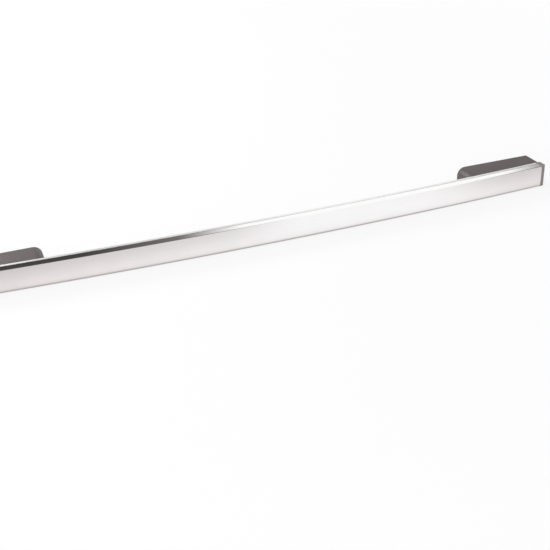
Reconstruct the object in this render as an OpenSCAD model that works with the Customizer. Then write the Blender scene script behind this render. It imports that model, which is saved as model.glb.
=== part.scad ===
// Bowed bar handle for a refrigerator door, in millimetres.
// X runs along the bar, Y points at the door, and Z is up as the handle lies on its long edge.
// The origin is on the door's face, midway between the two door sockets.
// The right half is modelled, and the left half is its mirror image.

/* [Bar] */
// Length of the bar between its square-cut ends
bar_length = 600; // [450:5:740]
// Height of the front face
bar_h = 24; // [22:0.5:32]
// Thickness of the bar from its front face to its back face
bar_d = 12; // [11:0.25:15]
// Rise of the bow at mid-length over a straight line between the ends
bow_rise = 9.2; // [7:0.1:20]
// Thickness of the wall behind the front face
front_wall = 2; // [1.2:0.1:2.6]
// Thickness of the back wall, which the screws clamp
back_wall = 2.4; // [1.6:0.1:3]
// Thickness of the walls along the two long edges
edge_wall = 2; // [1.2:0.1:3]
// Radius of the lower front edge
lower_r = 3.8; // [1:0.1:5]
// Radius of the front face, which is slightly crowned
face_r = 250; // [100:5:400]
// Radius of the two back edges
back_r = 0.8; // [0.3:0.1:2]
// Bevel of the upper front edge
bevel = 0.3; // [0.1:0.05:0.8]
// Width of the bright strip that runs along the top, behind the front face
strip_w = 7.5; // [5:0.1:9]
// Depth of the groove that borders the strip
groove = 0.4; // [0.2:0.05:0.8]
// Radius inside the corners of the bar's chamber
core_r = 0.8; // [0.3:0.1:1.2]

/* [Feet] */
// Distance from the door to the front face at the bar's ends
end_reach = 32.4; // [30:0.2:50]
// Length of a foot, measured from the end of the bar
foot_length = 82; // [68:1:110]
// Distance that a foot stands out past the end of the bar
foot_overhang = 2; // [0:0.1:2.6]
// Corner radius at the inner end of a foot
foot_r = 8.5; // [4:0.5:10.5]
// Draft of the outer end of a foot, in degrees
foot_draft = 3; // [0:0.5:5]
// Thickness of a foot's walls
foot_wall = 2.5; // [1.8:0.1:3]
// Thickness of the web that lies against the bar
foot_web = 3; // [2:0.1:4]
// Thickness of the ribs that hold the socket block endways
rib_t = 1.6; // [1:0.1:2.4]
// Distance from the door to the edge of those ribs
rib_setback = 1.5; // [0.5:0.25:6]

/* [Door sockets] */
// Bore of a socket
socket_d = 8.2; // [6:0.1:9]
// Depth of a socket
socket_depth = 12; // [8:0.5:14]
// Lead-in at the mouth of a socket
socket_lead = 0.3; // [0.1:0.1:1]
// Distance from the door to the mouth of a socket
boss_setback = 0.1; // [0.05:0.05:2]
// Length of the socket block's flange
flange_l = 54; // [50:0.5:58]
// Thickness of that flange
flange_t = 3.5; // [2.5:0.1:4.5]
// Thickness of the gussets between boss and flange
gusset_t = 3; // [2:0.5:5]
// Thread size of the grub screw
grub_d = 5; // [4:0.5:6]
// Length of the grub screw
grub_l = 5; // [4:0.5:6]
// Hexagon socket of the grub screw, across its flats
grub_hex = 2.5; // [2:0.5:3]

/* [Bar screws] */
// Distance between the two screws of a foot
screw_pitch = 38; // [36:0.5:42]
// Thread size of the screws
screw_d = 4; // [3:0.5:4.5]
// Diameter of the screw heads
head_d = 8; // [7.5:0.1:9]
// Height of the screw heads
head_h = 2.4; // [2:0.1:3.5]
// Hexagon socket of the screws, across its flats
head_hex = 2.5; // [2:0.5:3]
// Length of thread that shows past the nut plate
tip_proud = 0.6; // [0.2:0.1:1.2]
// Outer diameter of the spring washers
washer_d = 7; // [6.2:0.1:8]
// Thickness of the spring washers
washer_t = 1; // [0.6:0.1:1.6]
// Opening of the spring washers, in degrees
washer_split = 14; // [6:1:30]
// Length of the nut plates
nut_l = 50; // [48:1:52]
// Thickness of the nut plates
nut_t = 3.2; // [2:0.1:3.6]
// Corner radius of the nut plates
nut_r = 2; // [0.5:0.5:4]

/* [End caps] */
// Distance that a cap carries the bar on past its end
cap_t = 6.2; // [5.5:0.1:8]
// Rounding of a cap's upright front edge
cap_front_r = 5; // [0.5:0.1:5]
// Rounding of a cap's upright back edge
cap_back_r = 4; // [0.5:0.1:5]
// Rounding of a cap's lower outer edge
cap_low_r = 3.8; // [0.5:0.1:5]
// Rounding of a cap's upper outer edge
cap_top_r = 1; // [0.5:0.1:3]
// Thickness of a cap's walls and of its spigot's
cap_wall = 1.5; // [1:0.1:2]

/* [Clearances] */
// Gap between faces that seat on each other
seat = 0.05; // [0.02:0.01:0.2]
// Gap around a screw in a plain hole
screw_gap = 0.25; // [0.1:0.05:0.5]
// Gap between a thread and its tapped hole
thread_gap = 0.05; // [0.02:0.01:0.1]
// Gap between a spigot and the bar's chamber
spigot_gap = 0.15; // [0.05:0.05:0.3]
// Distance between a spigot and the nut plate inside the bar
spigot_clear = 6; // [3:0.5:7]
// Gap around a socket block inside its foot
block_gap = 0.3; // [0.1:0.05:0.6]
// Gap around the nut plate inside the bar's chamber
nut_gap = 1; // [0.6:0.1:2]
// Distance from the wall of a socket to the tip of its grub screw
grub_gap = 0.2; // [0.1:0.05:0.6]
// Gap around the key's way in to a grub screw
key_gap = 0.5; // [0.2:0.1:1]

/* [Hidden] */

// Facets of a whole turn, for small rounds and for the bow's great circles
$fn = 64;
bow_fn = 3600;
// Overrun of a cutting shape past the face that it cuts, in millimetres and in degrees along the bow
cut = 1;
sweep_overrun = 0.02;

// The bow is an arc about an upright axis on the door's side of the bar
bar_end = bar_length / 2;
bow_r = (bar_end * bar_end + bow_rise * bow_rise) / (2 * bow_rise);
bow_back = bow_r - bar_d;
bow_y = bow_r - end_reach - bow_rise;
bow_turn = asin(bar_end / bow_r);
full_reach = end_reach + bow_rise;
end_gap = end_reach - bar_d;

// Each foot bears on the hollow back of the bar with a flat web, at its two ends
foot_x = bar_end - foot_length;
foot_end = bar_end + foot_overhang;
web_low = asin(foot_x / bow_back);
web_high = asin(foot_end / bow_back);
web_turn = (web_low + web_high) / 2;
web_line = bow_back * cos((web_high - web_low) / 2);
web_sag = bow_back - web_line;

// Each socket is at the middle of its foot, and a station is the place on the web abreast of it
socket_x = (foot_x + foot_end) / 2;
station_x = (socket_x - web_line * sin(web_turn)) / cos(web_turn);
station_y = bow_y + station_x * sin(web_turn) - web_line * cos(web_turn);

// Heights over a station, towards the door
flange_foot = foot_web + seat;
flange_top = flange_foot + flange_t;
washer_foot = flange_top + seat;
head_foot = washer_foot + washer_t + seat;
nut_top = -web_sag - back_wall - seat;
screw_l = head_foot - nut_top + nut_t + tip_proud;

spigot_l = bar_end - socket_x - nut_l / 2 - spigot_clear;
block_h = bar_h - 2 * foot_wall - 2 * block_gap;
boss_r = block_h / 2;
gusset_l = screw_pitch / 2 - head_d / 2 - cut;
grub_y = -boss_setback - socket_depth / 2;
nut_h = bar_h - 2 * edge_wall - 2 * nut_gap;
screw_bore = screw_d + 2 * screw_gap;

// Notch that rounds the corner of a square, with the corner at the origin
module corner_notch(r) {
    difference() {
        translate([-cut, -cut]) square(r + cut);
        translate([r, r]) circle(r = r, $fn = 48);
    }
}

// Rectangle with a radius of its own at the low left, low right, high right and high left
module rounded_rect(x0, y0, x1, y1, radii) {
    difference() {
        translate([x0, y0]) square([x1 - x0, y1 - y0]);
        if (radii[0] > 0) translate([x0, y0]) corner_notch(radii[0]);
        if (radii[1] > 0) translate([x1, y0]) mirror([1, 0]) corner_notch(radii[1]);
        if (radii[2] > 0) translate([x1, y1]) rotate(180) corner_notch(radii[2]);
        if (radii[3] > 0) translate([x0, y1]) mirror([0, 1]) corner_notch(radii[3]);
    }
}

// Takes the corner off a crowned face, down to an arc that meets both the face and the edge
module low_corner() {
    turn = asin((bar_h / 2 - lower_r) / (face_r - lower_r));
    across = bar_d - face_r + (face_r - lower_r) * cos(turn);
    difference() {
        translate([across, lower_r - bar_h / 2])
            polygon([[0, 0], [bar_d, -bar_d * tan(turn)], [bar_d, -bar_h], [0, -bar_h]]);
        translate([across, lower_r - bar_h / 2]) circle(r = lower_r, $fn = 96);
    }
}

// Outline of the bar's section: across is measured from its back face, and up from mid-height
module bar_outline() {
    face_set = face_r - sqrt(face_r * face_r - bar_h * bar_h / 4);
    difference() {
        intersection() {
            rounded_rect(0, -bar_h / 2, bar_d, bar_h / 2, [back_r, 0, 0, back_r]);
            translate([bar_d - face_r, 0]) circle(r = face_r, $fn = 720);
        }
        low_corner();
        translate([bar_d - face_set, bar_h / 2])
            rotate(45) translate([-bevel / sqrt(2), -bar_h / 2]) square(bar_h);
    }
}

// Section of the bar, with the groove behind its bright strip
module bar_section() {
    difference() {
        bar_outline();
        translate([bar_d - strip_w - groove, bar_h / 2])
            rotate(45) square(groove * sqrt(2), center = true);
    }
}

// Section of the chamber inside the bar, held in from its walls by a margin
module chamber_section(margin) {
    front_corner = max(core_r, lower_r - edge_wall) - margin;
    corner = max(core_r - margin, 0);
    rounded_rect(
        back_wall + margin, -bar_h / 2 + edge_wall + margin,
        bar_d - front_wall - margin, bar_h / 2 - edge_wall - margin,
        [corner, max(front_corner, 0), corner, corner]
    );
}

// A section swept along the bow, to an angle on both sides of its middle
module bow_sweep(turn) {
    translate([0, bow_y, 0])
        rotate([0, 0, -90 - turn])
            rotate_extrude(angle = 2 * turn, $fn = bow_fn)
                translate([bow_back, 0]) children();
}

// Places its child on the back corner of the bar's end, with X straight out of the bar
module at_end() {
    translate([0, bow_y, 0])
        rotate([0, 0, bow_turn])
            translate([0, -bow_back, 0]) children();
}

// Extrudes a section of the bar along X
module along_bar(length) {
    rotate([90, 0, 90]) linear_extrude(length) mirror([1, 0]) children();
}

// Places its child at a station, with X along the web and Y square to it
module at_station() {
    translate([socket_x, station_y, 0]) rotate([0, 0, web_turn]) children();
}

// Turns a shape that stands along Z so that it points at the door
module to_door() {
    rotate([-90, 0, 0]) children();
}

// Extrudes an outline in X and Z from y = 0 away from the door
module from_door(depth) {
    rotate([90, 0, 0]) linear_extrude(depth) children();
}

module left() {
    mirror([1, 0, 0]) children();
}

// Holes for the two screws of a foot, through what lies between two heights at a station
module screw_holes(low, high, d) {
    for (offset = [-screw_pitch / 2, screw_pitch / 2])
        translate([offset, low, 0]) to_door() cylinder(d = d, h = high - low);
}

module bar() {
    color("#dfdddd")
    difference() {
        bow_sweep(bow_turn) bar_section();
        bow_sweep(bow_turn + sweep_overrun) chamber_section(0);
        at_station() screw_holes(nut_top - cut, cut, screw_bore);
        left() at_station() screw_holes(nut_top - cut, cut, screw_bore);
    }
}

// Outside of a cap, which carries on the bar's section with its outer edges rounded
module cap_shell() {
    intersection() {
        translate([seat, 0, 0]) along_bar(cap_t - seat) bar_outline();
        translate([0, 0, -bar_h]) linear_extrude(2 * bar_h)
            rounded_rect(-cut, -bar_d, cap_t, 0, [0, cap_front_r, cap_back_r, 0]);
        translate([0, cut, 0]) from_door(bar_d + 2 * cut)
            rounded_rect(-2 * cap_low_r, -bar_h / 2, cap_t, bar_h / 2, [0, cap_low_r, cap_top_r, 0]);
    }
}

module end_cap() {
    color("#8a8786")
    at_end()
        difference() {
            union() {
                cap_shell();
                translate([-spigot_l, 0, 0])
                    along_bar(spigot_l + cap_t / 2) chamber_section(spigot_gap);
            }
            translate([-spigot_l - cut, 0, 0])
                along_bar(spigot_l + cut + cap_t - cap_wall)
                    chamber_section(spigot_gap + cap_wall);
        }
}

// Outline of a foot on the door, seen from the front
module foot_outline(margin) {
    r = foot_r - margin;
    rounded_rect(
        foot_x + margin, -bar_h / 2 + margin, foot_end - margin, bar_h / 2 - margin,
        [r, 0, 0, r]
    );
}

// Outline of a foot from above, with the draft of its outer end
module foot_plan(margin, top) {
    slope = tan(foot_draft);
    polygon([
        [foot_x, top],
        [foot_end - margin - slope * (end_gap + top), top],
        [foot_end - margin, -end_gap],
        [foot_end - margin, -full_reach],
        [foot_x, -full_reach]
    ]);
}

module foot_form(margin, top) {
    intersection() {
        translate([0, top, 0]) from_door(full_reach + top) foot_outline(margin);
        translate([0, 0, -bar_h]) linear_extrude(2 * bar_h) foot_plan(margin, top);
    }
}

// Ribs across the hollow of a foot at both ends of its socket block
module foot_ribs() {
    inner_face = flange_l / 2 + block_gap;
    for (side = [-1, 1])
        translate([side * (inner_face + rib_t / 2) - rib_t / 2, 0, -bar_h])
            cube([rib_t, full_reach, 2 * bar_h]);
}

// Hollow of a foot: its floor is flat and square to the screws
module foot_hollow() {
    difference() {
        intersection() {
            foot_form(foot_wall, cut);
            at_station() translate([-foot_length, foot_web, -bar_h])
                cube([2 * foot_length, full_reach, 2 * bar_h]);
        }
        intersection() {
            at_station() foot_ribs();
            translate([foot_x, -full_reach - rib_setback, -bar_h])
                cube([foot_length + foot_overhang, full_reach, 2 * bar_h]);
        }
    }
}

module foot() {
    color("#5f5b5a")
    difference() {
        foot_form(0, 0);
        at_station() translate([-2 * foot_length, seat - full_reach, -bar_h])
            cube([4 * foot_length, full_reach, 2 * bar_h]);
        foot_hollow();
        at_station() screw_holes(-cut, foot_web + cut, screw_bore);
        translate([socket_x, grub_y, -bar_h / 2 - cut])
            cylinder(d = grub_d + 2 * key_gap, h = foot_wall + 2 * cut);
    }
}

// Webs that stiffen the boss along the bar
module block_gussets() {
    height = -station_y - boss_setback - flange_top - gusset_t;
    translate([0, flange_top - seat, -gusset_t / 2])
        linear_extrude(gusset_t)
            polygon([[-gusset_l, 0], [gusset_l, 0], [0, height]]);
}

module socket_block() {
    color("#a7a6a3")
    difference() {
        union() {
            at_station() {
                translate([-flange_l / 2, flange_foot, -block_h / 2])
                    cube([flange_l, flange_t, block_h]);
                block_gussets();
            }
            intersection() {
                translate([socket_x, -full_reach, 0])
                    to_door() cylinder(r = boss_r, h = full_reach - boss_setback);
                at_station() translate([-flange_l, flange_foot, -bar_h])
                    cube([2 * flange_l, full_reach, 2 * bar_h]);
            }
        }
        translate([socket_x, -boss_setback - socket_depth, 0])
            to_door() cylinder(d = socket_d, h = socket_depth + cut);
        translate([socket_x, -boss_setback - socket_lead, 0])
            to_door() cylinder(d1 = socket_d, d2 = socket_d + 4 * socket_lead, h = 2 * socket_lead);
        at_station() screw_holes(0, flange_top + cut, screw_bore);
        translate([socket_x, grub_y, -bar_h / 2])
            cylinder(d = grub_d + 2 * thread_gap, h = bar_h / 2);
    }
}

module grub_screw() {
    tip = -socket_d / 2 - grub_gap;
    chamfer = grub_d / 10;
    radius = grub_d / 2;
    color("#3b3a3a")
    translate([socket_x, grub_y, tip - grub_l])
        difference() {
            rotate_extrude()
                polygon([
                    [0, 0], [radius - chamfer, 0], [radius, chamfer],
                    [radius, grub_l - 2 * chamfer], [radius / 2, grub_l], [0, grub_l - chamfer]
                ]);
            translate([0, 0, -cut])
                cylinder(d = grub_hex / cos(30), h = grub_l / 2 + cut, $fn = 6);
        }
}

module nut_plate() {
    color("#8f9092")
    at_station()
        difference() {
            translate([0, nut_top, 0]) from_door(nut_t)
                rounded_rect(
                    -nut_l / 2, -nut_h / 2, nut_l / 2, nut_h / 2,
                    [nut_r, nut_r, nut_r, nut_r]
                );
            screw_holes(nut_top - nut_t - cut, nut_top + cut, screw_d + 2 * thread_gap);
        }
}

// Screw at a distance along the bar from its station, with its head on the washer
module bar_screw(offset) {
    chamfer = screw_d / 8;
    dome_r = head_d;
    radius = screw_d / 2;
    color("#b9babb")
    at_station()
        translate([offset, head_foot, 0]) to_door()
            difference() {
                union() {
                    intersection() {
                        cylinder(d = head_d, h = head_h);
                        translate([0, 0, head_h - dome_r]) sphere(r = dome_r);
                    }
                    rotate_extrude()
                        polygon([
                            [0, chamfer], [radius, chamfer], [radius, chamfer - screw_l],
                            [radius - chamfer, -screw_l], [0, -screw_l]
                        ]);
                }
                translate([0, 0, head_h / 3])
                    cylinder(d = head_hex / cos(30), h = head_h, $fn = 6);
            }
}

module spring_washer(offset) {
    color("#9a9b9d")
    at_station()
        translate([offset, washer_foot, 0]) to_door()
            rotate([0, 0, washer_split / 2])
                rotate_extrude(angle = 360 - washer_split)
                    translate([screw_bore / 2, 0])
                        square([(washer_d - screw_bore) / 2, washer_t]);
}

bar();
end_cap();  // right_end_cap
left() end_cap();  // left_end_cap
foot();  // right_foot
left() foot();  // left_foot
socket_block();  // right_socket_block
left() socket_block();  // left_socket_block
grub_screw();  // right_grub_screw
left() grub_screw();  // left_grub_screw
nut_plate();  // right_nut_plate
left() nut_plate();  // left_nut_plate
bar_screw(-screw_pitch / 2);  // right_inner_screw
bar_screw(screw_pitch / 2);  // right_outer_screw
left() bar_screw(-screw_pitch / 2);  // left_inner_screw
left() bar_screw(screw_pitch / 2);  // left_outer_screw
spring_washer(-screw_pitch / 2);  // right_inner_washer
spring_washer(screw_pitch / 2);  // right_outer_washer
left() spring_washer(-screw_pitch / 2);  // left_inner_washer
left() spring_washer(screw_pitch / 2);  // left_outer_washer
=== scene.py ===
from math import asin, cos, degrees, pi, radians, sin

import bmesh
import bpy
from mathutils import Matrix, Vector


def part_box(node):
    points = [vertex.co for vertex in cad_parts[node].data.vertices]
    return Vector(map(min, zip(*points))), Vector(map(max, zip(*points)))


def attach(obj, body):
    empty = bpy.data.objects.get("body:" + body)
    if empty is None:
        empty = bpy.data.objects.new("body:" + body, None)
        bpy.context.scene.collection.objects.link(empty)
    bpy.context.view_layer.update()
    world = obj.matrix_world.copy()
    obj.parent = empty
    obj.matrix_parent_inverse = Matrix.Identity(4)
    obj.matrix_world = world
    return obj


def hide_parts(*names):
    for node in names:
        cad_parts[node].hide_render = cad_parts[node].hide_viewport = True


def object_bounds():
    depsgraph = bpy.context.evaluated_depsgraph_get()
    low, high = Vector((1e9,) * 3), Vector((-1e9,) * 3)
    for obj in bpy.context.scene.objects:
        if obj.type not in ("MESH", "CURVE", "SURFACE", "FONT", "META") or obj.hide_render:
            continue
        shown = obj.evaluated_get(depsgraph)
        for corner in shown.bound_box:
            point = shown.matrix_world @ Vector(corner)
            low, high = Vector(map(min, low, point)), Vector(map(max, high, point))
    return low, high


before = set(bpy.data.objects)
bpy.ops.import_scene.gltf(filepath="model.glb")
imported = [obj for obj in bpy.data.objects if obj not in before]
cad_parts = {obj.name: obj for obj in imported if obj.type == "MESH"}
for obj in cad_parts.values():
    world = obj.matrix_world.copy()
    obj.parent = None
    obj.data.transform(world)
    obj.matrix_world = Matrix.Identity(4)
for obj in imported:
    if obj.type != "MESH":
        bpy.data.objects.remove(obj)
CAD_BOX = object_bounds()

MM = 0.001

# The bar, as in the part's source, in metres
BAR_LOW, BAR_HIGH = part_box("bar")
HALF_LENGTH = BAR_HIGH.x
HALF_HEIGHT = BAR_HIGH.z
END_REACH = 32.4 * MM
BOW_RISE = -END_REACH - BAR_LOW.y
BAR_DEPTH = 12.0 * MM
FACE_RADIUS = 250.0 * MM
BEVEL = 0.3 * MM
LOWER_RADIUS = 3.8 * MM
BACK_RADIUS = 0.8 * MM
STRIP_DEPTH = 7.5 * MM
GROOVE_DEPTH = 0.4 * MM
FRONT_WALL = 2.0 * MM
EDGE_WALL = 2.0 * MM
BACK_WALL = 2.4 * MM
CORE_RADIUS = 0.8 * MM
BOW_STEPS = 180
# Steps of the arcs in the section, from the face round to the chamber's corners
FACE_STEPS = 16
LOWER_STEPS = 16
LOW_BACK_STEPS = 6
HIGH_BACK_STEPS = 8
CORE_STEPS = 4
# Section points closer than this count as one
SAME_POINT = 1e-7
# Edges of the bar that turn by more than this stay sharp, in degrees
SHARP_TURN = 12

# Round on the moulded edges of the feet, where they turn by more than EDGE_TURN degrees
FOOT_EDGE = 0.4 * MM
EDGE_SEGMENTS = 3
EDGE_TURN = 40
# Corners of a foot's mesh closer than this are welded first
WELD_REACH = 1e-6

BOW_RADIUS = (HALF_LENGTH ** 2 + BOW_RISE ** 2) / (2 * BOW_RISE)
BOW_TURN = asin(HALF_LENGTH / BOW_RADIUS)
BOW_CENTRE_Y = BAR_LOW.y + BOW_RADIUS

# The photograph's camera
PHOTO_SIDE = 550
FOCAL_PIXELS = 1032.563
SENSOR = 36.0
VIEW_AZIMUTH = radians(-19.508)
VIEW_ELEVATION = radians(29.272)
VIEW_ROLL = radians(-1.919)
CAMERA_PLACE = Vector((-0.29934, -0.87525, 0.44994))
CLIP_NEAR, CLIP_FAR = 0.05, 60.0


def link(obj):
    bpy.context.scene.collection.objects.link(obj)
    return obj


def node(tree, kind, **values):
    """A new node with some of its input sockets set."""
    made = tree.nodes.new(kind)
    for name, value in values.items():
        made.inputs[name.replace("_", " ")].default_value = value
    return made


def wire(tree, source, target):
    tree.links.new(source, target)


def new_material(name):
    material = bpy.data.materials.new(name)
    material.use_nodes = True
    material.node_tree.nodes.clear()
    return material, material.node_tree


def stretched_noise(tree, stretch, scale, detail=3.0):
    """Noise in object space, stretched along X, Y and Z by the given shares."""
    place = node(tree, "ShaderNodeTexCoord")
    mapping = node(tree, "ShaderNodeMapping", Scale=stretch)
    noise = node(tree, "ShaderNodeTexNoise", Scale=scale, Detail=detail, Roughness=0.6)
    wire(tree, place.outputs["Object"], mapping.inputs["Vector"])
    wire(tree, mapping.outputs["Vector"], noise.inputs["Vector"])
    return noise.outputs["Fac"]


# Values that most of a noise lies between
NOISE_LOW, NOISE_HIGH = 0.3, 0.7


def ramp_between(tree, factor, low, high):
    """Maps a noise onto a range of values."""
    mapped = node(tree, "ShaderNodeMapRange")
    mapped.inputs["From Min"].default_value = NOISE_LOW
    mapped.inputs["From Max"].default_value = NOISE_HIGH
    mapped.inputs["To Min"].default_value = low
    mapped.inputs["To Max"].default_value = high
    wire(tree, factor, mapped.inputs["Value"])
    return mapped.outputs["Result"]


def colour_between(tree, factor, dark, light):
    mixed = tree.nodes.new("ShaderNodeMix")
    mixed.data_type = "RGBA"
    mixed.inputs["A"].default_value = (*dark, 1)
    mixed.inputs["B"].default_value = (*light, 1)
    wire(tree, ramp_between(tree, factor, 0.0, 1.0), mixed.inputs["Factor"])
    return mixed.outputs["Result"]


def bumped(tree, heights, normal=None):
    """A chain of bumps, each given as (height, strength, depth in metres)."""
    for height, strength, depth in heights:
        bump = node(tree, "ShaderNodeBump", Strength=strength, Distance=depth)
        wire(tree, height, bump.inputs["Height"])
        if normal is not None:
            wire(tree, normal, bump.inputs["Normal"])
        normal = bump.outputs["Normal"]
    return normal


def surface(tree, base, roughness, normal, **values):
    """The principled surface with its base colour, roughness and bumps wired in."""
    shader = node(tree, "ShaderNodeBsdfPrincipled", **values)
    wire(tree, base, shader.inputs["Base Color"])
    wire(tree, roughness, shader.inputs["Roughness"])
    wire(tree, normal, shader.inputs["Normal"])
    output = tree.nodes.new("ShaderNodeOutputMaterial")
    wire(tree, shader.outputs["BSDF"], output.inputs["Surface"])
    return shader


def satin_aluminium(name, smooth, rough):
    """Anodised and brushed along the bar, with a roughness between two values."""
    material, tree = new_material(name)
    lines = stretched_noise(tree, (0.01, 1, 1), 5200)
    streaks = stretched_noise(tree, (0.02, 1, 1), 900)
    clouds = stretched_noise(tree, (1, 1, 1), 60)
    base = colour_between(tree, streaks, (0.96, 0.95, 0.95), (0.99, 0.98, 0.98))
    roughness = ramp_between(tree, clouds, smooth, rough)
    normal = bumped(tree, [(lines, 0.12, 0.01 * MM), (streaks, 0.05, 0.02 * MM)])
    shader = surface(tree, base, roughness, normal, Metallic=1.0, Anisotropic=0.8)
    around = tree.nodes.new("ShaderNodeTangent")
    around.direction_type = "RADIAL"
    around.axis = "X"
    wire(tree, around.outputs["Tangent"], shader.inputs["Tangent"])
    return material


def polished_aluminium():
    """Bright-cut strip along the upper edge."""
    material, tree = new_material("polished_aluminium")
    lines = stretched_noise(tree, (0.01, 1, 1), 3000)
    waves = stretched_noise(tree, (0.2, 1, 1), 40)
    base = colour_between(tree, waves, (0.95, 0.945, 0.94), (0.98, 0.975, 0.97))
    roughness = ramp_between(tree, waves, 0.05, 0.08)
    normal = bumped(tree, [(waves, 0.02, 0.05 * MM), (lines, 0.03, 0.004 * MM)])
    surface(tree, base, roughness, normal, Metallic=1.0)
    return material


def dull_aluminium(name, dark, light, rough):
    """Mill finish, as inside the bar. In the groove it is painted shade: a darker, duller colour than the
    polished strip that stands for the shade in the groove.
    """
    material, tree = new_material(name)
    lines = stretched_noise(tree, (0.01, 1, 1), 2500)
    clouds = stretched_noise(tree, (1, 1, 1), 120)
    base = colour_between(tree, clouds, dark, light)
    roughness = ramp_between(tree, lines, rough - 0.05, rough + 0.1)
    normal = bumped(tree, [(lines, 0.3, 0.03 * MM)])
    surface(tree, base, roughness, normal, Metallic=1.0)
    return material


def moulded_plastic(name, dark, light, rough, grain_strength):
    """Spark-eroded plastic with a fine grain."""
    material, tree = new_material(name)
    grain = stretched_noise(tree, (1, 1, 1), 2600)
    flow = stretched_noise(tree, (0.3, 1, 1), 110)
    base = colour_between(tree, flow, dark, light)
    roughness = ramp_between(tree, grain, rough - 0.05, rough + 0.07)
    normal = bumped(tree, [(flow, 0.1, 0.05 * MM), (grain, grain_strength, 0.03 * MM)])
    surface(tree, base, roughness, normal, IOR=1.5)
    return material


def cast_metal(name, dark, light, grain_scale, rough, depth):
    """Cast, plated or blackened metal with pits and clouded colour."""
    material, tree = new_material(name)
    pits = stretched_noise(tree, (1, 1, 1), grain_scale)
    clouds = stretched_noise(tree, (1, 1, 1), 260)
    base = colour_between(tree, clouds, dark, light)
    roughness = ramp_between(tree, clouds, rough - 0.08, rough + 0.1)
    normal = bumped(tree, [(pits, 0.4, depth)])
    surface(tree, base, roughness, normal, Metallic=1.0)
    return material


def arc(centre, radius, start, end, steps):
    """Points on an arc in the bar's section, with angles in degrees from the across axis."""
    made = []
    for i in range(steps + 1):
        angle = radians(start + (end - start) * i / steps)
        made.append((centre[0] + radius * cos(angle), centre[1] + radius * sin(angle)))
    return made


def bar_outline():
    """Outline of the bar's section as (finish, points) stretches, across from the back face and up."""
    top = HALF_HEIGHT
    face_centre = (BAR_DEPTH - FACE_RADIUS, 0)
    face_turn = degrees(asin(top / FACE_RADIUS))
    low_turn = asin((top - LOWER_RADIUS) / (FACE_RADIUS - LOWER_RADIUS))
    low_centre = (face_centre[0] + (FACE_RADIUS - LOWER_RADIUS) * cos(low_turn), LOWER_RADIUS - top)
    face_top = face_centre[0] + FACE_RADIUS * cos(radians(face_turn))
    groove = BAR_DEPTH - STRIP_DEPTH
    bevel_turn = degrees(asin((top - BEVEL) / FACE_RADIUS))
    low_back = (BACK_RADIUS, BACK_RADIUS - top)
    high_back = (BACK_RADIUS, top - BACK_RADIUS)
    return [
        ("satin", arc(face_centre, FACE_RADIUS, bevel_turn, -degrees(low_turn), FACE_STEPS)
            + arc(low_centre, LOWER_RADIUS, -degrees(low_turn), -90, LOWER_STEPS)),
        ("land", arc(low_back, BACK_RADIUS, -90, -180, LOW_BACK_STEPS)
            + arc(high_back, BACK_RADIUS, 180, 90, HIGH_BACK_STEPS)),
        ("groove", [(groove - 2 * GROOVE_DEPTH, top), (groove - GROOVE_DEPTH, top - GROOVE_DEPTH)]),
        ("polished", [(groove, top), (face_top - BEVEL, top)]),
    ]


def chamber_outline():
    top = HALF_HEIGHT - EDGE_WALL
    back, front = BACK_WALL, BAR_DEPTH - FRONT_WALL
    made = []
    for across, up, start in (
        (front - CORE_RADIUS, top - CORE_RADIUS, 90),
        (front - CORE_RADIUS, CORE_RADIUS - top, 0),
        (back + CORE_RADIUS, CORE_RADIUS - top, -90),
        (back + CORE_RADIUS, top - CORE_RADIUS, -180),
    ):
        made += arc((across, up), CORE_RADIUS, start, start - 90, CORE_STEPS)
    return made


def on_bow(across, up, turn):
    """A point of the section, swept to an angle along the bow."""
    radius = BOW_RADIUS - BAR_DEPTH + across
    return Vector((radius * sin(turn), BOW_CENTRE_Y - radius * cos(turn), up))


def bar_mesh(finishes):
    """The bar swept finely along its bow, with one material for each finish."""
    outer, kinds = [], []
    for finish, points in bar_outline():
        for point in points:
            if outer and (Vector(point) - Vector(outer[-1])).length < SAME_POINT:
                continue
            outer.append(point)
            kinds.append(finish)
    mesh = bmesh.new()
    rings = []
    for outline, labels in ((outer, kinds), (chamber_outline(), None)):
        ring = [
            [mesh.verts.new(on_bow(a, u, BOW_TURN * (2 * i / BOW_STEPS - 1))) for a, u in outline]
            for i in range(BOW_STEPS + 1)
        ]
        count = len(outline)
        for i in range(BOW_STEPS):
            for j in range(count):
                k = (j + 1) % count
                corners = [ring[i][j], ring[i][k], ring[i + 1][k], ring[i + 1][j]]
                face = mesh.faces.new(corners)
                face.smooth = True
                face.material_index = finishes.index(labels[j] if labels else "raw")
        rings.append(ring)
    for end in (0, -1):
        edges = []
        for ring in rings:
            loop = ring[end]
            for j in range(len(loop)):
                edges.append(mesh.edges.get((loop[j], loop[(j + 1) % len(loop)])))
        made = bmesh.ops.triangle_fill(mesh, edges=edges, use_beauty=True)
        for face in made["geom"]:
            if isinstance(face, bmesh.types.BMFace):
                face.material_index = finishes.index("raw")
    bmesh.ops.recalc_face_normals(mesh, faces=mesh.faces)
    data = bpy.data.meshes.new("bow_bar")
    mesh.to_mesh(data)
    mesh.free()
    return data


def sharpen(obj, limit):
    """Smooth shading that breaks at edges sharper than a limit in degrees."""
    data = obj.data
    data.shade_smooth()
    data.set_sharp_from_angle(angle=radians(limit))
    weighted = obj.modifiers.new("weighted", "WEIGHTED_NORMAL")
    weighted.keep_sharp = True
    weighted.weight = 100


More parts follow.
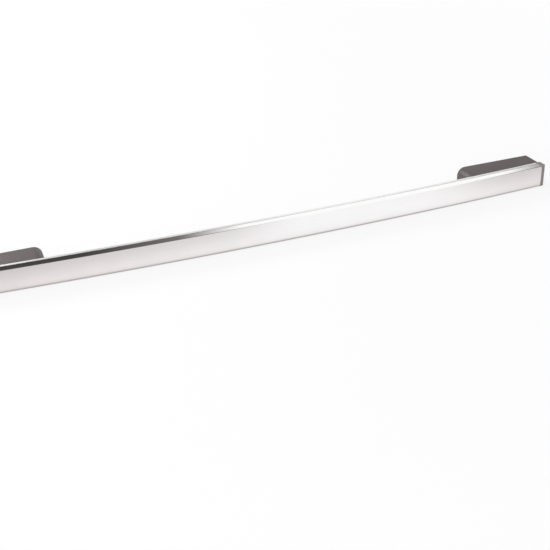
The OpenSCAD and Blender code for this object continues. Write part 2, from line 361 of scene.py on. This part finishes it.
def make_bar():
    finishes = {
        "satin": satin_aluminium("satin_aluminium", 0.29, 0.33),
        "land": satin_aluminium("land_aluminium", 0.41, 0.47),
        "polished": polished_aluminium(),
        # Painted shade: the groove's walls get a darker, duller colour than the polished strip, standing for
        # the shade in the groove
        "groove": dull_aluminium("groove_painted_shade", (0.62, 0.61, 0.60), (0.72, 0.71, 0.70), 0.25),
        "raw": dull_aluminium("raw_aluminium", (0.60, 0.60, 0.60), (0.72, 0.72, 0.71), 0.45),
    }
    bar = link(bpy.data.objects.new("bow_bar", bar_mesh(list(finishes))))
    for material in finishes.values():
        bar.data.materials.append(material)
    sharpen(bar, SHARP_TURN)
    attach(bar, "root")
    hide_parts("bar")
    return bar


def dress(names, material):
    for name in names:
        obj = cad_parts[name]
        for slot in obj.material_slots:
            slot.material = material


def round_edges(names, width):
    """Small rounds on the moulded edges."""
    for name in names:
        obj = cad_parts[name]
        weld = obj.modifiers.new("weld", "WELD")
        weld.merge_threshold = WELD_REACH
        bevel = obj.modifiers.new("rounds", "BEVEL")
        bevel.width = width
        bevel.segments = EDGE_SEGMENTS
        bevel.limit_method = "ANGLE"
        bevel.angle_limit = radians(EDGE_TURN)
        bevel.harden_normals = False


def dress_nodes():
    both = lambda *names: [f"{side}_{name}" for side in ("right", "left") for name in names]
    dress(both("foot"), moulded_plastic(
        "foot_plastic", (0.077, 0.061, 0.058), (0.095, 0.077, 0.073), 0.45, 0.5))
    dress(both("end_cap"), moulded_plastic(
        "cap_plastic", (0.24, 0.215, 0.208), (0.28, 0.252, 0.244), 0.34, 0.25))
    dress(both("socket_block"), cast_metal(
        "die_cast_zinc", (0.44, 0.44, 0.43), (0.56, 0.56, 0.55), 1500, 0.42, 0.06 * MM))
    dress(both("nut_plate", "inner_screw", "outer_screw", "inner_washer", "outer_washer"), cast_metal(
        "zinc_plated_steel", (0.58, 0.59, 0.60), (0.70, 0.71, 0.72), 3000, 0.28, 0.01 * MM))
    dress(both("grub_screw"), cast_metal(
        "black_steel", (0.035, 0.034, 0.034), (0.07, 0.068, 0.066), 2600, 0.45, 0.02 * MM))


def seen_share(tree):
    """1 for rays from the camera, from mirrors and through glass, 0 for the rest; and the light path."""
    path = tree.nodes.new("ShaderNodeLightPath")
    seen = path.outputs["Is Camera Ray"]
    for name in ("Is Glossy Ray", "Is Transmission Ray"):
        either = node(tree, "ShaderNodeMath")
        either.operation = "MAXIMUM"
        wire(tree, seen, either.inputs[0])
        wire(tree, path.outputs[name], either.inputs[1])
        seen = either.outputs[0]
    return path, seen


WORLD_LEVEL = 0.45


def make_world():
    world = bpy.data.worlds.new("studio")
    bpy.context.scene.world = world
    world.use_nodes = True
    tree = world.node_tree
    tree.nodes.clear()
    path, seen = seen_share(tree)
    strength = node(tree, "ShaderNodeMapRange")
    strength.inputs["To Min"].default_value = WORLD_LEVEL
    strength.inputs["To Max"].default_value = 1.0
    wire(tree, seen, strength.inputs["Value"])
    background = node(tree, "ShaderNodeBackground", Color=(1, 1, 1, 1))
    wire(tree, strength.outputs["Result"], background.inputs["Strength"])
    output = tree.nodes.new("ShaderNodeOutputWorld")
    wire(tree, background.outputs["Background"], output.inputs["Surface"])


def plane(name, corners, material):
    data = bpy.data.meshes.new(name)
    data.from_pydata([tuple(c) for c in corners], [], [(0, 1, 2, 3)])
    obj = link(bpy.data.objects.new(name, data))
    obj.data.materials.append(material)
    return obj


# Tints of the painted reflections, behind the handle and in front of it
WARMTH = (1.0, 0.935, 0.92)
FACE_WARMTH = (1.0, 0.945, 0.94)
WHITE = (1.0, 1.0, 1.0)


def toned(tree, value, stops, tint=WARMTH):
    """Colour that follows (value, tone) stops; white stops take no tint."""
    low, high = stops[0][0], stops[-1][0]
    scaled = node(tree, "ShaderNodeMapRange")
    scaled.inputs["From Min"].default_value = low
    scaled.inputs["From Max"].default_value = high
    wire(tree, value, scaled.inputs["Value"])
    ramp = tree.nodes.new("ShaderNodeValToRGB")
    elements = ramp.color_ramp.elements
    while len(elements) < len(stops):
        elements.new(0.5)
    for element, (at, tone) in zip(elements, stops):
        element.position = (at - low) / (high - low)
        element.color = (*(tone * part for part in (tint if tone < 1 else WHITE)), 1)
    wire(tree, scaled.outputs["Result"], ramp.inputs["Fac"])
    return ramp.outputs["Color"]


def along_x(tree):
    place = node(tree, "ShaderNodeTexCoord")
    split = tree.nodes.new("ShaderNodeSeparateXYZ")
    wire(tree, place.outputs["Object"], split.inputs[0])
    return split.outputs["X"]


def before_bow(tree):
    """Distance in front of the bar's face on the floor, in metres."""
    place = node(tree, "ShaderNodeTexCoord")
    offset = tree.nodes.new("ShaderNodeVectorMath")
    offset.operation = "DISTANCE"
    offset.inputs[1].default_value = (0, BOW_CENTRE_Y, CAD_BOX[0].z)
    wire(tree, place.outputs["Object"], offset.inputs[0])
    less = node(tree, "ShaderNodeMath")
    less.operation = "SUBTRACT"
    less.inputs[1].default_value = BOW_RADIUS
    wire(tree, offset.outputs["Value"], less.inputs[0])
    return less.outputs[0]


FLOOR_SIDE = 12.0
# Distances from the handle between which the floor's shading fades out
SHADING_FULL, SHADING_GONE = 0.35, 1.2
# Share of true shading in the floor near the handle, as the camera sees it
SHADOW_SHARE = 0.2
# Painted reflections: tones that the floor shows to mirrors, along X and by distance in front of the bar.
# Along X they darken towards the ends; by distance they make a painted pool of light just in front of the
# bar, with painted shade behind it and further off
FACE_TONES = [(-0.30, 0.87), (-0.20, 0.94), (0.03, 1.0), (0.19, 1.0), (0.30, 0.87)]
PAINTED_POOL_TONES = [(-0.60, 0.85), (-0.04, 0.8), (0.008, 1.0), (0.018, 1.0), (0.05, 0.66), (0.60, 0.60)]
# Share of plain white in the tones by distance, along X
WHITE_SHARES = [(-0.30, 0.0), (-0.03, 0.0), (0.04, 1.0), (0.22, 1.0), (0.30, 0.1)]
# Painted shadow: the tone that mirrors see on the floor right under the bar, and the share of the other
# tones there
PAINTED_SHADOW_TONE = 0.42
PAINTED_SHADOW_SHARES = [(-0.60, 1.0), (-0.04, 1.0), (-0.016, 0.0), (0.002, 0.0), (0.0055, 1.0), (0.60, 1.0)]


def floor_material():
    """White floor that keeps a soft true shadow near the handle. Mirrors see painted reflections instead: a
    painted shadow under the bar, a painted pool of light in front of it and painted shade further off and
    towards the ends.
    """
    material, tree = new_material("studio_floor")
    path, seen = seen_share(tree)
    place = node(tree, "ShaderNodeTexCoord")
    away = node(tree, "ShaderNodeVectorMath")
    away.operation = "LENGTH"
    wire(tree, place.outputs["Object"], away.inputs[0])
    share = node(tree, "ShaderNodeMapRange")
    share.inputs["From Min"].default_value = SHADING_FULL
    share.inputs["From Max"].default_value = SHADING_GONE
    share.inputs["To Min"].default_value = 1 - SHADOW_SHARE
    share.inputs["To Max"].default_value = 1.0
    wire(tree, away.outputs["Value"], share.inputs["Value"])
    factor = node(tree, "ShaderNodeMath")
    factor.operation = "MULTIPLY"
    wire(tree, seen, factor.inputs[0])
    wire(tree, share.outputs["Result"], factor.inputs[1])
    diffuse = node(tree, "ShaderNodeBsdfDiffuse", Color=(1, 1, 1, 1))
    glow = node(tree, "ShaderNodeEmission", Color=(1, 1, 1, 1), Strength=1.0)
    lit = tree.nodes.new("ShaderNodeMixShader")
    wire(tree, factor.outputs[0], lit.inputs[0])
    wire(tree, diffuse.outputs[0], lit.inputs[1])
    wire(tree, glow.outputs[0], lit.inputs[2])
    tone = tree.nodes.new("ShaderNodeVectorMath")
    tone.operation = "MULTIPLY"
    wire(tree, toned(tree, along_x(tree), FACE_TONES, FACE_WARMTH), tone.inputs[0])
    depth = tree.nodes.new("ShaderNodeMix")
    depth.data_type = "RGBA"
    depth.inputs["B"].default_value = (*WHITE, 1)
    wire(tree, toned(tree, along_x(tree), WHITE_SHARES, WHITE), depth.inputs["Factor"])
    wire(tree, toned(tree, before_bow(tree), PAINTED_POOL_TONES, WHITE), depth.inputs["A"])
    wire(tree, depth.outputs["Result"], tone.inputs[1])
    # Painted reflection of the floor: a pool of light near the bar and shade further off, darker towards the
    # ends
    open_floor = node(tree, "ShaderNodeEmission", Strength=1.0)
    wire(tree, tone.outputs[0], open_floor.inputs["Color"])
    # Painted shadow right under the bar, as mirrors see it
    under = node(tree, "ShaderNodeEmission", Color=(*WARMTH, 1), Strength=PAINTED_SHADOW_TONE)
    mirrored = tree.nodes.new("ShaderNodeMixShader")
    wire(tree, toned(tree, before_bow(tree), PAINTED_SHADOW_SHARES, WHITE), mirrored.inputs[0])
    wire(tree, under.outputs[0], mirrored.inputs[1])
    wire(tree, open_floor.outputs[0], mirrored.inputs[2])
    mixed = tree.nodes.new("ShaderNodeMixShader")
    wire(tree, path.outputs["Is Glossy Ray"], mixed.inputs[0])
    wire(tree, lit.outputs[0], mixed.inputs[1])
    wire(tree, mirrored.outputs[0], mixed.inputs[2])
    output = tree.nodes.new("ShaderNodeOutputMaterial")
    wire(tree, mixed.outputs[0], output.inputs["Surface"])
    return material


def make_floor():
    half = FLOOR_SIDE / 2
    level = CAD_BOX[0].z
    corners = [(-half, -half, level), (half, -half, level), (half, half, level), (-half, half, level)]
    return plane("studio_floor", corners, floor_material())


def board(name, corners, stops, tint=WARMTH):
    """Glowing board that only mirrors see: a painted reflection in the metal, no lamp, lighting nothing
    else.
    """
    material, tree = new_material(name)
    glow = node(tree, "ShaderNodeEmission", Strength=1.0)
    wire(tree, toned(tree, along_x(tree), stops, tint), glow.inputs["Color"])
    output = tree.nodes.new("ShaderNodeOutputMaterial")
    wire(tree, glow.outputs[0], output.inputs["Surface"])
    made = plane(name, corners, material)
    made.visible_camera = False
    made.visible_diffuse = False
    made.visible_transmission = False
    made.visible_shadow = False


BOARD_HALF = 3.0
BOARD_Y = 2.6
BACK_FOOT = 0.35
ROOF = 2.0
# Where the front roof board meets the rear one, along Y
ROOF_SPLIT = -0.3
# Painted reflections: tones along X behind the handle, over it and in front of it, dark and bright bands for
# the metal to mirror
BACK_TONES = [
    (-3.0, 1.0), (-0.60, 1.0), (-0.30, 0.06), (0.18, 0.06), (0.55, 0.17),
    (0.80, 1.0), (2.0, 1.0), (2.25, 0.03), (3.0, 0.03),
]
ROOF_TONES = [(-3.0, 0.1), (0.40, 0.1), (0.80, 1.0), (1.52, 1.0), (1.86, 0.08), (3.0, 0.08)]
REAR_ROOF_TONES = [(-3.0, 1.0), (1.44, 1.0), (1.56, 0.6), (3.0, 0.4)]
FRONT_TONES = [(-3.0, 0.7), (0.35, 0.75), (0.85, 1.0), (2.05, 1.0), (2.5, 0.85), (3.0, 0.8)]
# Painted reflection of an even tone at both sides of the handle
SIDE_TONE = 0.6
SIDE_TONES = [(-BOARD_HALF, SIDE_TONE), (BOARD_HALF, SIDE_TONE)]


def make_boards():
    """Glowing boards all round, seen only by mirrors, that paint the reflections in the metal."""
    side = BOARD_HALF
    upright = lambda y, z: [(-side, y, z), (side, y, z), (side, y, ROOF), (-side, y, ROOF)]
    board("back_board", upright(BOARD_Y, BACK_FOOT), BACK_TONES)
    board("front_board", upright(-BOARD_Y, 0.0), FRONT_TONES, FACE_WARMTH)
    beside = lambda x: [(x, -BOARD_Y, 0.0), (x, BOARD_Y, 0.0), (x, BOARD_Y, ROOF), (x, -BOARD_Y, ROOF)]
    board("left_board", beside(-side), SIDE_TONES)
    board("right_board", beside(side), SIDE_TONES)
    over = lambda near, far: [(-side, near, ROOF), (side, near, ROOF), (side, far, ROOF), (-side, far, ROOF)]
    board("roof_board", over(-BOARD_Y, ROOF_SPLIT), ROOF_TONES)
    board("rear_roof_board", over(ROOF_SPLIT, BOARD_Y), REAR_ROOF_TONES)


def lamp(name, place, size, level):
    """Soft square lamp aimed at the handle; level is the tone that it alone gives a white card there."""
    data = bpy.data.lights.new(name, "AREA")
    data.shape = "SQUARE"
    data.size = size
    place = Vector(place)
    data.energy = level * pi ** 2 * place.length_squared
    obj = link(bpy.data.objects.new(name, data))
    obj.location = place
    obj.rotation_mode = "QUATERNION"
    obj.rotation_quaternion = (-place).to_track_quat("-Z", "Y")
    return obj


def make_lamps():
    lamp("overhead", (-0.5, -0.1, 1.2), 1.2, 0.2).visible_glossy = False
    lamp("front", (-0.6, -1.4, 0.5), 0.8, 0.3).visible_glossy = False
    lamp("rear_left", (-0.6, 1.1, 0.9), 0.6, 0.4)
    lamp("left", (-1.4, 0.1, 0.3), 0.5, 0.1).visible_glossy = False
    lamp("right", (1.4, 0.1, 0.15), 0.5, 0.28).visible_glossy = False


def make_camera():
    data = bpy.data.cameras.new("photo_camera")
    data.sensor_width = SENSOR
    data.lens = FOCAL_PIXELS * SENSOR / PHOTO_SIDE
    data.clip_start = CLIP_NEAR
    data.clip_end = CLIP_FAR
    obj = link(bpy.data.objects.new("photo_camera", data))
    back = Vector((
        sin(VIEW_AZIMUTH) * cos(VIEW_ELEVATION),
        -cos(VIEW_AZIMUTH) * cos(VIEW_ELEVATION),
        sin(VIEW_ELEVATION),
    ))
    level_right = Vector((cos(VIEW_AZIMUTH), sin(VIEW_AZIMUTH), 0))
    level_up = back.cross(level_right)
    right = cos(VIEW_ROLL) * level_right + sin(VIEW_ROLL) * level_up
    up = cos(VIEW_ROLL) * level_up - sin(VIEW_ROLL) * level_right
    turn = Matrix((right, up, back)).transposed()
    obj.matrix_world = Matrix.Translation(CAMERA_PLACE) @ turn.to_4x4()
    bpy.context.scene.camera = obj


bpy.context.scene.view_settings.view_transform = "Standard"
make_camera()
make_world()
make_floor()
make_boards()
make_lamps()
make_bar()
dress_nodes()
round_edges(["right_foot", "left_foot"], FOOT_EDGE)
